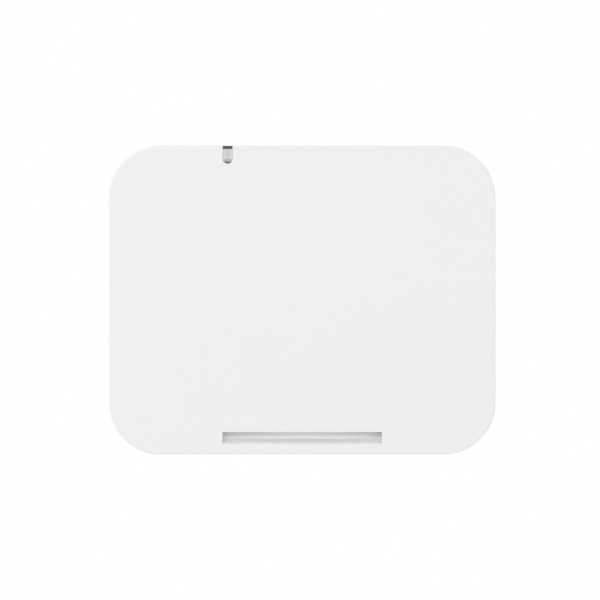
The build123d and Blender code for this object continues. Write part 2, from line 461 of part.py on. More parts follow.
with BuildPart() as memory_chip:
    block(MEMORY_X, MEMORY_Z, (BOARD_REAR - MEMORY_HEIGHT, BOARD_REAR))
finish(memory_chip, "memory_chip")

# --- Network sockets: a steel shell, a plastic insert and eight spring contacts each -------------
for name, x in (("uplink", UPLINK_X), ("lan", LAN_X)):
    shell_x = (x - JACK_WIDTH / 2, x + JACK_WIDTH / 2)
    insert_x = (shell_x[0] + JACK_SKIN, shell_x[1] - JACK_SKIN)
    jack_z = (SOCKET_FACE, SOCKET_FACE + JACK_LENGTH)
    insert_z = (jack_z[0] + JACK_SKIN, jack_z[1] - JACK_SKIN)
    plug_x = (x - PLUG_WIDTH / 2, x + PLUG_WIDTH / 2)
    latch_x = (x - LATCH_WIDTH / 2, x + LATCH_WIDTH / 2)
    mouth_z = (jack_z[0] - MARGIN, insert_z[0] + PLUG_REACH)
    slit_z = (jack_z[0] + CONTACT_FROM_FACE, mouth_z[1] - OVERLAP)
    with BuildPart() as shell:
        block(shell_x, jack_z, (JACK_REAR, BOARD_REAR))
        block(insert_x, insert_z, (JACK_REAR + JACK_SKIN, BOARD_REAR + MARGIN), Mode.SUBTRACT)
        block(plug_x, mouth_z, (PLUG_REAR, PLUG_FRONT), Mode.SUBTRACT)
        block(latch_x, mouth_z, (LATCH_REAR, PLUG_REAR + OVERLAP), Mode.SUBTRACT)
    finish(shell, f"{name}_socket_shell")

    contact_x = [x + (i - (CONTACT_COUNT - 1) / 2) * CONTACT_PITCH for i in range(CONTACT_COUNT)]
    with BuildPart() as insert:
        block(insert_x, insert_z, (JACK_REAR + JACK_SKIN, BOARD_REAR - SEAT_GAP))
        block(plug_x, mouth_z, (PLUG_REAR, PLUG_FRONT), Mode.SUBTRACT)
        block(latch_x, mouth_z, (LATCH_REAR, PLUG_REAR + OVERLAP), Mode.SUBTRACT)
        for place in contact_x:
            slit_x = grown((place - CONTACT_WIDTH / 2, place + CONTACT_WIDTH / 2), RUNNING_GAP)
            block(slit_x, slit_z, (PLUG_FRONT - OVERLAP, PLUG_FRONT + CONTACT_SLIT_DEPTH), Mode.SUBTRACT)
    finish(insert, f"{name}_socket_insert")

    with BuildPart() as contacts:
        with BuildSketch(Plane.YZ.offset(contact_x[0] - CONTACT_WIDTH / 2)) as spring:
            with BuildLine():
                near = (-PLUG_FRONT - CONTACT_SHEET, slit_z[0] + CLEARANCE)
                far = (-PLUG_FRONT + CONTACT_REACH, slit_z[1] - CONTACT_TIP_GAP)
                far_back, near_back = (far[0] - CONTACT_SHEET, far[1]), (near[0] - CONTACT_SHEET, near[1])
                Polyline(near, far, far_back, near_back, close=True)
            make_face()
        for place in contact_x:
            beam = Pos(place - contact_x[0], 0, 0) * spring.sketch
            extrude(beam, amount=CONTACT_WIDTH)
    finish(contacts, f"{name}_socket_contacts")

    with BuildPart() as magnetics:
        magnetics_x = (x - MAGNETICS_HALF_WIDTH, x + MAGNETICS_HALF_WIDTH)
        magnetics_depths = (BOARD_REAR - MAGNETICS_HEIGHT, BOARD_REAR)
        block(magnetics_x, MAGNETICS_Z, magnetics_depths, corner=MAGNETICS_EDGE)
        chamfer(magnetics.faces().sort_by(Axis.Y)[-1].edges(), MAGNETICS_EDGE)
    finish(magnetics, f"{name}_magnetics")

# --- Power inlet, and the reset switch with its button -------------------------------------------
dc_z = (SOCKET_FACE, SOCKET_FACE + DC_LENGTH)
bore_end = dc_z[0] + DC_BORE_LENGTH
with BuildPart() as power_inlet:
    block((DC_X - DC_BODY / 2, DC_X + DC_BODY / 2), dc_z, (DC_DEPTH - DC_BODY / 2, BOARD_REAR))
    chamfer(power_inlet.edges().filter_by(Axis.Z).sort_by(Axis.Y)[-2:], DC_CHAMFER)
    upright_bar(DC_X, DC_DEPTH, DC_BORE_R, (dc_z[0] - MARGIN, bore_end), Mode.SUBTRACT)
    upright_bar(DC_X, DC_DEPTH, DC_PIN_R + FIT_GAP, (dc_z[0], bore_end + DC_PIN_ROOT), Mode.SUBTRACT)
finish(power_inlet, "power_inlet")

with BuildPart() as power_pin:
    upright_bar(DC_X, DC_DEPTH, DC_PIN_R, (dc_z[0] + DC_PIN_SETBACK, bore_end + DC_PIN_ROOT))
    fillet(power_pin.edges().sort_by(Axis.Z)[0], DC_PIN_ROUND)
finish(power_pin, "power_pin")

collar_start = BAY_TOP + BAY_WALL + FIT_GAP
collar_z = (collar_start, collar_start + RESET_COLLAR_HEIGHT)
switch_start = collar_z[1] + RESET_TRAVEL + RESET_SWITCH_GAP
switch_z = (switch_start, switch_start + RESET_SWITCH_HEIGHT)
with BuildPart() as reset_button:
    upright_bar(RESET_X, RESET_DEPTH, RESET_R, (SOCKET_FACE, switch_z[0] + RESET_PLUNGE))
    fillet(reset_button.edges().sort_by(Axis.Z)[0], RESET_TIP_R)
    upright_bar(RESET_X, RESET_DEPTH, RESET_COLLAR_R, collar_z)
finish(reset_button, "reset_button")

with BuildPart() as reset_switch:
    switch_x = (RESET_X - RESET_SWITCH_HALF, RESET_X + RESET_SWITCH_HALF)
    block(switch_x, switch_z, (RESET_DEPTH - RESET_SWITCH_HALF, BOARD_REAR))
    well_z = (switch_z[0] - MARGIN, switch_z[0] + RESET_WELL)
    upright_bar(RESET_X, RESET_DEPTH, RESET_R + CLEARANCE, well_z, Mode.SUBTRACT)
finish(reset_switch, "reset_switch")

# --- Power supply parts on the rear of the board -------------------------------------------------
capacitor_depths = (BOARD_REAR - CAPACITOR_HEIGHT, BOARD_REAR - CAPACITOR_BASE)
for i, (x, z) in enumerate(CAPACITOR_PLACES, start=1):
    with BuildPart() as capacitor:
        discs([(x, z)], CAPACITOR_R, capacitor_depths)
        fillet(capacitor.faces().sort_by(Axis.Y)[-1].edges(), CAPACITOR_TOP_R)
        base_x, base_z = grown((x, x), CAPACITOR_BASE_HALF), grown((z, z), CAPACITOR_BASE_HALF)
        block(base_x, base_z, (capacitor_depths[1], BOARD_REAR))
    finish(capacitor, f"capacitor_{i}")

inductor_depths = (BOARD_REAR - INDUCTOR_HEIGHT, BOARD_REAR)
for i, (x, z) in enumerate(INDUCTOR_PLACES, start=1):
    with BuildPart() as inductor:
        inductor_x, inductor_z = grown((x, x), INDUCTOR_HALF), grown((z, z), INDUCTOR_HALF)
        block(inductor_x, inductor_z, inductor_depths, corner=INDUCTOR_CORNER_R)
    finish(inductor, f"inductor_{i}")

# === Antenna plate, antennas and their leads =====================================================
with BuildPart() as antenna_plate:
    slab(lambda: RectangleRounded(PLATE_WIDTH, PLATE_HEIGHT, PLATE_CORNER_R), (PLATE_REAR, PLATE_FRONT))
    plate_through = (PLATE_REAR - MARGIN, PLATE_FRONT + MARGIN)
    discs(post_places, BOARD_SCREW_R + CLEARANCE, plate_through, Mode.SUBTRACT)
    discs(corners(LEAD_HOLE_X, ANTENNA_Z), LEAD_HOLE_R, plate_through, Mode.SUBTRACT)
    block(PLATE_WINDOW_X, PLATE_WINDOW_Z, plate_through, Mode.SUBTRACT, PLATE_WINDOW_R)
finish(antenna_plate, "antenna_plate")


def side_ends(sign, start, end):
    """A pair of X ends on the left (-1) or right (1) side, given as distances from the middle."""
    return sorted((sign * start, sign * end))


# Each antenna is a bent strip: a foot on the plate, an upright wall and a slotted patch.
patch_depth = PLATE_FRONT + ANTENNA_RISE
antenna_start, antenna_end = ANTENNA_X - ANTENNA_IN, ANTENNA_X + ANTENNA_OUT
bend_x = antenna_start + ANTENNA_FOOT
lead_depth, board_depth = PLATE_FRONT + LEAD_OVER_PLATE, BOARD_FRONT + LEAD_OVER_BOARD
for side, sign in (("left", -1), ("right", 1)):
    foot_x = side_ends(sign, antenna_start, bend_x)
    wall_x = side_ends(sign, bend_x - ANTENNA_SHEET, bend_x)
    patch_x = side_ends(sign, bend_x - ANTENNA_SHEET, antenna_end)
    slot_ends = side_ends(sign, antenna_start + ANTENNA_SLOT_START, antenna_end - ANTENNA_SLOT_MARGIN)
    for level, place_z in (("upper", ANTENNA_Z), ("lower", -ANTENNA_Z)):
        foot_z = grown((place_z, place_z), ANTENNA_FOOT_HALF)
        with BuildPart() as antenna:
            block(foot_x, foot_z, (PLATE_FRONT, PLATE_FRONT + ANTENNA_SHEET))
            block(wall_x, foot_z, (PLATE_FRONT, patch_depth))
            patch_z = grown((place_z, place_z), ANTENNA_PATCH_HALF)
            block(patch_x, patch_z, (patch_depth - ANTENNA_SHEET, patch_depth))
            for slot_z in (place_z - ANTENNA_SLOT_Z, place_z + ANTENNA_SLOT_Z):
                slot_z_ends = grown((slot_z, slot_z), ANTENNA_SLOT_HALF)
                block(slot_ends, slot_z_ends, grown((patch_depth, patch_depth), MARGIN), Mode.SUBTRACT)
        finish(antenna, f"antenna_{level}_{side}")

        with BuildPart() as lead:
            with BuildLine():
                path = FilletPolyline(
                    (sign * (antenna_start + LEAD_START), -lead_depth, place_z),
                    (sign * LEAD_HOLE_X, -lead_depth, place_z),
                    (sign * LEAD_HOLE_X, -board_depth, place_z),
                    (sign * (LEAD_PLUG_X + LEAD_PLUG_R + RUNNING_GAP), -board_depth, place_z),
                    radius=COAX_BEND_R,
                )
            with BuildSketch(Plane(origin=path @ 0, z_dir=path % 0)):
                Circle(COAX_R)
            sweep(path=path)
        finish(lead, f"antenna_lead_{level}_{side}")

        with BuildPart() as plug:
            discs([(sign * LEAD_PLUG_X, place_z)], LEAD_PLUG_R, (BOARD_FRONT, BOARD_FRONT + LEAD_PLUG_HEIGHT))
        finish(plug, f"lead_plug_{level}_{side}")

with BuildPart() as iot_antenna:
    block(IOT_X, IOT_Z, (BOARD_FRONT, BOARD_FRONT + IOT_HEIGHT))
finish(iot_antenna, "iot_antenna")

# === Fasteners and feet ==========================================================================
with BuildPart() as standoffs:
    with BuildSketch(at_depth(BOARD_FRONT)):
        with Locations(*post_places):
            RegularPolygon(STANDOFF_R, 6)
    extrude(amount=PLATE_REAR - BOARD_FRONT)
    discs(post_places, BOARD_SCREW_R, (BOARD_REAR - STANDOFF_TAIL, BOARD_FRONT + OVERLAP))
    thread_depths = (PLATE_REAR - STANDOFF_THREAD, PLATE_REAR + MARGIN)
    discs(post_places, BOARD_SCREW_R + FIT_GAP, thread_depths, Mode.SUBTRACT)
finish(standoffs, "standoffs")


def pan_head_screws(places, head_rear, shank_end):
    """Screws driven from the front: a flat head with a hexagonal recess, and a shank behind it."""
    discs(places, BOARD_HEAD_R, (head_rear, head_rear + BOARD_HEAD_HEIGHT))
    discs(places, BOARD_SCREW_R, (shank_end, head_rear + OVERLAP))
    with BuildSketch(at_depth(head_rear + BOARD_HEAD_HEIGHT)) as recess:
        with Locations(*places):
            RegularPolygon(BOARD_RECESS_R, 6)
    extrude(recess.sketch, amount=-BOARD_RECESS_DEPTH, mode=Mode.SUBTRACT)


with BuildPart() as plate_screws:
    pan_head_screws(post_places, PLATE_FRONT, PLATE_REAR - PLATE_SCREW_BITE)
finish(plate_screws, "plate_screws")

with BuildPart() as board_screws:
    pan_head_screws(side_post_places, BOARD_FRONT, BOARD_REAR - BOARD_SCREW_BITE)
finish(board_screws, "board_screws")

with BuildPart() as case_screws:
    discs(case_screws_at, CASE_HEAD_R, CASE_HEAD)
    discs(case_screws_at, CASE_SCREW_R, (CASE_HEAD[1] - OVERLAP, CASE_BOSS_TOP + CASE_SCREW_BITE))
    with BuildSketch(at_depth(CASE_HEAD[0])):
        with Locations(*case_screws_at):
            RegularPolygon(CASE_RECESS_R, 6)
    extrude(amount=CASE_RECESS_DEPTH, mode=Mode.SUBTRACT)
finish(case_screws, "case_screws")

with BuildPart() as rubber_feet:
    discs(case_screws_at, FOOT_R, (FOOT_REAR, FOOT_FRONT))
    fillet(rubber_feet.faces().filter_by(Axis.Y).group_by(Axis.Y)[-1].edges(), FOOT_EDGE_R)
finish(rubber_feet, "rubber_feet")

with BuildPart() as rating_label:
    label_x = (-LABEL_SIZE[0] / 2, LABEL_SIZE[0] / 2)
    label_z = (LABEL_WINDOW_Z - LABEL_SIZE[1] / 2, LABEL_WINDOW_Z + LABEL_SIZE[1] / 2)
    block(label_x, label_z, (NEST_FLOOR - LABEL_THICKNESS, NEST_FLOOR), corner=LABEL_CORNER_R)
finish(rating_label, "rating_label")

# === Wall bracket ================================================================================
with BuildPart() as bracket_plate:
    slab(lambda: RectangleRounded(BRACKET_WIDTH, BRACKET_HEIGHT, BRACKET_CORNER_R), (0.0, SHEET))
    for sign in (-1, 1):
        flange_x = sorted((sign * (BRACKET_WIDTH / 2 - SHEET), sign * BRACKET_WIDTH / 2))
        block(flange_x, (-FLANGE_HALF_HEIGHT, FLANGE_HALF_HEIGHT), (SHEET - OVERLAP, FLANGE_FRONT))
    fillet(edges_at_depth(bracket_plate, 0.0).filter_by(Axis.Z), BEND_R)
    through = (-MARGIN, SHEET + MARGIN)
    for size, z in ((CABLE_WINDOW, CABLE_WINDOW_Z), (LABEL_WINDOW, LABEL_WINDOW_Z)):
        window_ends = (-size[0] / 2, size[0] / 2), (z - size[1] / 2, z + size[1] / 2)
        block(*window_ends, through, Mode.SUBTRACT, BRACKET_WINDOW_R)
    with BuildSketch(at_depth(through[0])):
        with Locations(*corners(WALL_SLOT_X, WALL_SLOT_Z)):
            SlotOverall(WALL_SLOT_LENGTH, 2 * WALL_SLOT_R)
        with Locations((0, BOX_SCREW_Z), (0, -BOX_SCREW_Z)):
            Circle(BOX_SCREW_R)
        with Locations(*corners(STUD_X, STUD_Z)):
            Circle(STUD_TAIL_R + FIT_GAP)
    extrude(amount=through[1] - through[0], mode=Mode.SUBTRACT)
    # Two tongues cut free on three sides, each with a dimple that steadies the case.
    for sign in (-1, 1):
        x, half_x, half_z = sign * TONGUE_X, TONGUE_SIZE[0] / 2, TONGUE_SIZE[1] / 2
        tongue_top = TONGUE_Z + half_z
        for edge_x in (x - half_x, x + half_x):
            slit_x = (edge_x - TONGUE_SLIT / 2, edge_x + TONGUE_SLIT / 2)
            block(slit_x, (TONGUE_Z - half_z, tongue_top), through, Mode.SUBTRACT)
        slit_z = (tongue_top - TONGUE_SLIT, tongue_top)
        block((x - half_x, x + half_x), slit_z, through, Mode.SUBTRACT)
        discs([(x, tongue_top - DIMPLE_FROM_TIP)], DIMPLE_R, (SHEET - OVERLAP, DIMPLE_FRONT))
    fillet(edges_at_depth(bracket_plate, DIMPLE_FRONT), DIMPLE_ROUND)
    back_face = bracket_plate.faces().filter_by(Axis.Y).sort_by(Axis.Y)[-1]
    window_edges = [edge for wire in back_face.inner_wires() for edge in wire.edges()]
    chamfer(window_edges, PRESS_CHAMFER)
finish(bracket_plate, "bracket_plate")

with BuildPart() as bracket_studs:
    stud_places = corners(STUD_X, STUD_Z)
    discs(stud_places, STUD_TAIL_R, (STUD_TAIL_RECESS, SHEET + OVERLAP))
    discs(stud_places, STUD_SHOULDER_R, (SHEET, STUD_SHOULDER))
    discs(stud_places, STUD_NECK_R, (STUD_SHOULDER - OVERLAP, STUD_NECK + OVERLAP))
    discs(stud_places, STUD_HEAD_R, (STUD_NECK, STUD_HEAD))
    chamfer(bracket_studs.faces().filter_by(Axis.Y).group_by(Axis.Y)[0].edges(), STUD_CHAMFER)
finish(bracket_studs, "bracket_studs")
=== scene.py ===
"""A wall or ceiling access point, shown from straight in front against white.

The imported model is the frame: +X right, +Z up, the front faces -Y, and everything is in metres.
"""

import json
import math

import bmesh
import bpy
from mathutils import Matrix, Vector


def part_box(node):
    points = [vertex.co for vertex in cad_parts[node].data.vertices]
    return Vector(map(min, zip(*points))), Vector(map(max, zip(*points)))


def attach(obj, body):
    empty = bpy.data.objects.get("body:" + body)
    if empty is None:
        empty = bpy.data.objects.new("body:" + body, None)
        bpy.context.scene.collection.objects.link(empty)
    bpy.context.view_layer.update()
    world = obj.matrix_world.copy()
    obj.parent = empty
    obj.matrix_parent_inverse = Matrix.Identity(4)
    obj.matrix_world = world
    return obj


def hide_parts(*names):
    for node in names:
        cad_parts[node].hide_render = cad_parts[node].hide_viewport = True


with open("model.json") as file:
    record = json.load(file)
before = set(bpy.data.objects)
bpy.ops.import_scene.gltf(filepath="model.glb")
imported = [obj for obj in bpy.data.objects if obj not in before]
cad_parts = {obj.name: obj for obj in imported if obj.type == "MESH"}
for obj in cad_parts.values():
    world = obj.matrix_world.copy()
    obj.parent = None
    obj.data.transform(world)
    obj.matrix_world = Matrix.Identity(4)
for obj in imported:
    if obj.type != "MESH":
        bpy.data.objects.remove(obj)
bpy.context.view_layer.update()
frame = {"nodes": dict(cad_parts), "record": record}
nodes = frame["nodes"]
MM = 0.001

# === Places taken from the frame =================================================================


def centre_of(node):
    low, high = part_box(node)
    return (Vector(low) + Vector(high)) / 2


def outer_places(node, radius):
    """The (x, z) distances from the middle to a group of four equal round pieces."""
    low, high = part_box(node)
    return high[0] - radius, high[2] - radius


def about(places):
    """The point that those distances give on the wall plane."""
    return (places[0], 0.0, places[1])


STUD_HEAD_RADIUS, PLATE_SCREW_RADIUS = 4.1 * MM, 2.4 * MM
STUDS_AT = outer_places("bracket_studs", STUD_HEAD_RADIUS)
POSTS_AT = outer_places("plate_screws", PLATE_SCREW_RADIUS)
lens_low = Vector(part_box("status_lens")[0])
window_centre = centre_of("status_lens")
label_low, label_high = (Vector(corner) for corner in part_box("rating_label"))
led_centre = centre_of("status_led")

# === Material helpers ============================================================================
MIX_FACTOR, MIX_FIRST, MIX_SECOND, MIX_RESULT = 0, 6, 7, 2  # sockets of a Mix node set to colours
WAVE_RATE = 20  # a Wave texture of scale 1 turns this many radians per unit


class Shader:
    """A Principled material with small helpers for procedural detail, all in object coordinates.

    A scale is in cycles per metre: one number, or one for each axis.
    """

    def __init__(self, name, colour, roughness, metallic=0.0, **inputs):
        self.material = bpy.data.materials.new(name)
        self.material.use_nodes = True
        self.material.diffuse_color = (*colour, 1.0)
        self.tree = self.material.node_tree
        self.bsdf = self.tree.nodes["Principled BSDF"]
        self.bsdf.inputs["Base Color"].default_value = (*colour, 1.0)
        self.bsdf.inputs["Roughness"].default_value = roughness
        self.bsdf.inputs["Metallic"].default_value = metallic
        for key, value in inputs.items():
            self.bsdf.inputs[key.replace("_", " ")].default_value = value
        self.coordinates = self.tree.nodes.new("ShaderNodeTexCoord").outputs["Object"]
        self.relief = None

    def node(self, kind, **settings):
        made = self.tree.nodes.new("ShaderNode" + kind)
        for key, value in settings.items():
            if key in made.inputs:
                made.inputs[key].default_value = value
            else:
                setattr(made, key, value)
        return made

    def link(self, source, target):
        self.tree.links.new(source, target)

    def placed(self, scale, offset=(0.0, 0.0, 0.0), folded=False):
        """Coordinates about an offset, scaled; folded mirrors them so one quarter stands for four."""
        source = self.coordinates
        if folded:
            absolute = self.node("VectorMath", operation="ABSOLUTE")
            self.link(source, absolute.inputs[0])
            source = absolute.outputs["Vector"]
        moved = self.node("VectorMath", operation="SUBTRACT")
        moved.inputs[1].default_value = offset
        self.link(source, moved.inputs[0])
        scaled = self.node("VectorMath", operation="MULTIPLY")
        scaled.inputs[1].default_value = scale if isinstance(scale, tuple) else (scale,) * 3
        self.link(moved.outputs["Vector"], scaled.inputs[0])
        return scaled.outputs["Vector"]

    def noise(self, scale, detail=2.0, rough=0.5, distort=0.0):
        """Noise between 0 and 1."""
        made = self.node("TexNoise", Scale=1.0, Detail=detail, Roughness=rough, Distortion=distort)
        self.link(self.placed(scale), made.inputs["Vector"])
        return made.outputs["Fac"]

    def cells(self, scale, feature="F1", output="Distance", spread=1.0):
        """Voronoi cells: distance from each point, to each edge, or a value for each cell."""
        made = self.node("TexVoronoi", feature=feature, Scale=1.0, Randomness=spread)
        self.link(self.placed(scale), made.inputs["Vector"])
        return made.outputs[output]

    def rings(self, pitch, offset):
        """Concentric turning marks about four mirrored axes along Y."""
        made = self.node("TexWave", wave_type="RINGS", rings_direction="Y", Scale=1.0, Detail=1.0)
        turns = 2 * math.pi / (WAVE_RATE * pitch)
        self.link(self.placed(turns, offset, folded=True), made.inputs["Vector"])
        return made.outputs["Fac"]

    def axis(self, name, offset):
        """One coordinate, in metres, about an offset."""
        split = self.node("SeparateXYZ")
        self.link(self.placed(1.0, offset), split.inputs["Vector"])
        return split.outputs[name]

    def facing(self, name):
        """How far the surface faces along an axis, 0 to 1."""
        split = self.node("SeparateXYZ")
        source = self.tree.nodes.new("ShaderNodeTexCoord").outputs["Normal"]
        self.link(source, split.inputs["Vector"])
        return self.maths("ABSOLUTE", split.outputs[name])

    def maths(self, operation, first, second=None):
        made = self.node("Math", operation=operation)
        for place, value in enumerate((first, second)):
            if value is None:
                continue
            if isinstance(value, (int, float)):
                made.inputs[place].default_value = value
            else:
                self.link(value, made.inputs[place])
        return made.outputs["Value"]

    def ranged(self, source, low, high, start=0.0, end=1.0):
        """source from start..end carried to low..high, clamped."""
        made = self.node("MapRange")
        for key, value in (("From Min", start), ("From Max", end), ("To Min", low), ("To Max", high)):
            made.inputs[key].default_value = value
        self.link(source, made.inputs["Value"])
        return made.outputs["Result"]

    def mixed(self, factor, first, second):
        """A colour between two, each a tuple or another node's output."""
        mix = self.node("Mix", data_type="RGBA")
        for place, value in ((MIX_FIRST, first), (MIX_SECOND, second)):
            if isinstance(value, tuple):
                mix.inputs[place].default_value = (*value, 1.0)
            else:
                self.link(value, mix.inputs[place])
        self.link(factor, mix.inputs[MIX_FACTOR])
        return mix.outputs[MIX_RESULT]

    def colour(self, source):
        self.link(source, self.bsdf.inputs["Base Color"])

    def rough(self, source, low, high):
        self.link(self.ranged(source, low, high), self.bsdf.inputs["Roughness"])

    def bump(self, source, depth_mm, strength=1.0):
        """Adds relief: several calls stack."""
        made = self.node("Bump", Strength=strength, Distance=depth_mm * MM)
        self.link(source, made.inputs["Height"])
        if self.relief is not None:
            self.link(self.relief, made.inputs["Normal"])
        self.relief = made.outputs["Normal"]
        self.link(self.relief, self.bsdf.inputs["Normal"])


# === Materials: the case =========================================================================


def cover_plastic():
    """Matt white plastic with a fine spark-eroded grain and slight flow mottling."""
    s = Shader("cover_plastic", (0.83, 0.83, 0.825), 0.5)
    broad = s.noise(16, 3.0)
    fine = s.noise(420, 2.0)
    tone = s.mixed(broad, (0.822, 0.823, 0.815), (0.842, 0.842, 0.838))
    s.colour(s.mixed(s.ranged(fine, 0.0, 0.16, 0.35, 0.7), tone, (0.79, 0.79, 0.785)))
    s.rough(s.noise(160, 3.0), 0.44, 0.6)
    s.bump(s.noise(900, 3.0, 0.6), 0.012, 0.7)
    s.bump(s.cells(2100), 0.01, 0.5)
    return s.material


def housing_paint():
    """White powder coat over a casting: orange peel, fine grain and faint dust in the texture."""
    s = Shader("housing_paint", (0.78, 0.78, 0.77), 0.5)
    peel = s.noise(330, 2.0, 0.45)
    speck = s.cells(700, output="Color")
    tone = s.mixed(s.noise(22, 4.0), (0.77, 0.772, 0.765), (0.80, 0.80, 0.795))
    s.colour(s.mixed(s.ranged(speck, 0.0, 0.12, 0.5, 1.0), tone, (0.70, 0.70, 0.69)))
    s.rough(peel, 0.42, 0.62)
    s.bump(peel, 0.06, 0.8)
    s.bump(s.noise(1600, 2.0), 0.012, 0.6)
    return s.material


def trim_plastic():
    """Smooth satin white moulding with faint flow lines along its length."""
    s = Shader("trim_plastic", (0.83, 0.84, 0.83), 0.32)
    flow = s.noise((26, 420, 420), 3.0)
    s.colour(s.mixed(flow, (0.815, 0.822, 0.815), (0.84, 0.846, 0.84)))
    s.rough(s.noise((60, 500, 500), 2.0), 0.26, 0.4)
    s.bump(flow, 0.006, 0.6)
    s.bump(s.noise(1800, 2.0), 0.003, 0.4)
    return s.material


BEZEL_PAINTED_SHADE_OVER = 1.0 * MM  # painted shade: the holder is painted paler over this height, down to the lens's lower end and below it, for the shaded round end of the notch


def bezel_plastic():
    """Dark grey moulded holder with a fine matt texture, painted paler below the lens as painted shade
    for the notch's round end.
    """
    s = Shader("bezel_plastic", (0.085, 0.086, 0.082), 0.6)
    tone = s.mixed(s.noise(600, 3.0), (0.074, 0.075, 0.072), (0.105, 0.106, 0.1))
    # painted shade: paler grey below the lens's lower end, standing for the shaded round end of the
    # notch
    below = s.ranged(s.axis("Z", tuple(lens_low)), 1.0, 0.0, 0.0, BEZEL_PAINTED_SHADE_OVER)
    s.colour(s.mixed(below, tone, (0.3, 0.303, 0.295)))
    s.rough(s.noise(300, 2.0), 0.5, 0.68)
    s.bump(s.noise(1500, 3.0), 0.012, 0.8)
    return s.material


LENS_PAINTED_SHADE_OVER = 2.0 * MM  # painted shade: the lens is painted darker this far up from its lower end, for the shade at the notch's round end
LENS_PAINTED_HIGHLIGHT, LENS_PAINTED_HIGHLIGHT_HALF = 2.2 * MM, 0.35 * MM  # height and half width of its painted highlight line
LENS_MIDDLE, LENS_SIDE = 0.4 * MM, 2.0 * MM  # it pales between these distances from its middle


def lens():
    """Frosted light pipe: milky, slightly green, darker down its middle, with a painted highlight line
    and painted shade towards its lower end.
    """
    s = Shader("lens", (0.66, 0.69, 0.67), 0.36, Subsurface_Weight=0.25, Subsurface_Scale=0.8 * MM)
    s.bsdf.inputs["Subsurface Radius"].default_value = (1.0, 1.0, 1.0)
    across = s.maths("ABSOLUTE", s.axis("X", tuple(window_centre)))
    up = s.axis("Z", tuple(lens_low))
    frost = s.noise(1100, 3.0)
    side = s.ranged(across, 0.0, 1.0, LENS_MIDDLE, LENS_SIDE)
    tone = s.mixed(side, (0.56, 0.59, 0.565), (0.66, 0.685, 0.665))
    tone = s.mixed(s.ranged(frost, 0.0, 0.25, 0.3, 0.8), tone, (0.62, 0.65, 0.64))
    # painted highlight: a thin paler line across the lens at one height
    from_painted_highlight = s.maths("ABSOLUTE", s.maths("SUBTRACT", up, LENS_PAINTED_HIGHLIGHT))
    tone = s.mixed(s.ranged(from_painted_highlight, 0.5, 0.0, 0.0, LENS_PAINTED_HIGHLIGHT_HALF), tone, (0.74, 0.755, 0.745))
    # painted shade: the lens darkens towards its lower end
    s.colour(s.mixed(s.ranged(up, 0.8, 0.0, 0.0, LENS_PAINTED_SHADE_OVER), tone, (0.24, 0.245, 0.235)))
    s.rough(frost, 0.28, 0.46)
    s.bump(frost, 0.01, 0.6)
    return s.material


def button_plastic():
    s = Shader("button_plastic", (0.05, 0.05, 0.055), 0.5)
    s.colour(s.mixed(s.noise(900, 2.0), (0.04, 0.04, 0.045), (0.07, 0.07, 0.075)))
    s.rough(s.noise(400, 2.0), 0.42, 0.6)
    s.bump(s.noise(2000, 2.0), 0.006, 0.7)
    return s.material


def foot_rubber():
    """Moulded grey rubber: a chalky surface with pores and dust."""
    s = Shader("foot_rubber", (0.33, 0.33, 0.33), 0.85)
    pores = s.cells(1500)
    tone = s.mixed(s.noise(240, 4.0), (0.27, 0.27, 0.275), (0.38, 0.38, 0.375))
    s.colour(s.mixed(s.ranged(pores, 0.5, 0.0, 0.0, 0.35), tone, (0.2, 0.2, 0.2)))
    s.rough(s.noise(500, 3.0), 0.74, 0.94)
    s.bump(s.noise(1000, 3.0), 0.02, 0.8)
    return s.material


BORDER_OUTER = (0.95 * MM, 1.05 * MM)  # the label's border begins and ends this far from its edge,
BORDER_INNER = (1.3 * MM, 1.4 * MM)  # each over a soft tenth of a millimetre


def label_film():
    """Blank silver-white film with a printed border and a soft sheen."""
    s = Shader("label_film", (0.78, 0.79, 0.79), 0.38, metallic=0.15)
    middle = tuple((label_low + label_high) / 2)
    half_width = (label_high[0] - label_low[0]) / 2
    half_height = (label_high[2] - label_low[2]) / 2
    from_side = s.maths("SUBTRACT", half_width, s.maths("ABSOLUTE", s.axis("X", middle)))
    from_end = s.maths("SUBTRACT", half_height, s.maths("ABSOLUTE", s.axis("Z", middle)))
    from_edge = s.maths("MINIMUM", from_side, from_end)
    outside = s.ranged(from_edge, 0.0, 1.0, *BORDER_OUTER)
    inside = s.ranged(from_edge, 1.0, 0.0, *BORDER_INNER)
    border = s.maths("MULTIPLY", outside, inside)
    grain = s.noise((30, 30, 1500), 3.0)
    film = s.mixed(grain, (0.74, 0.75, 0.755), (0.82, 0.825, 0.825))
    s.colour(s.mixed(border, film, (0.12, 0.12, 0.13)))
    s.rough(grain, 0.3, 0.48)
    s.bump(border, 0.02, 0.5)
    s.bump(s.noise(240, 2.0), 0.02, 0.3)
    return s.material


# === Materials: metals ===========================================================================


def plated(name, colour, roughness, grain=(900, 900, 40), spangle=0.0):
    """Plated steel or mill-finish sheet: rolling streaks, crystals where asked, and soft smudges."""
    s = Shader(name, colour, roughness, metallic=1.0)
    streaks = s.noise(grain, 4.0, 0.6)
    dark = tuple(0.84 * part for part in colour)
    light = tuple(min(1.0, 1.08 * part) for part in colour)
    tone = s.mixed(streaks, dark, light)
    if spangle:
        crystals = s.cells(spangle, output="Color")
        tone = s.mixed(s.ranged(crystals, 0.0, 0.4), tone, tuple(0.78 * part for part in colour))
        s.bump(crystals, 0.01, 0.35)
    s.colour(tone)
    smudge = s.noise(45, 4.0, 0.6, 0.5)
    both = s.maths("ADD", s.ranged(streaks, 0.0, 0.5), s.ranged(smudge, 0.0, 0.5, 0.3, 0.7))
    s.rough(both, roughness - 0.08, roughness + 0.16)
    s.bump(streaks, 0.006, 0.6)
    return s.material


TURNING_PITCH = 0.25 * MM


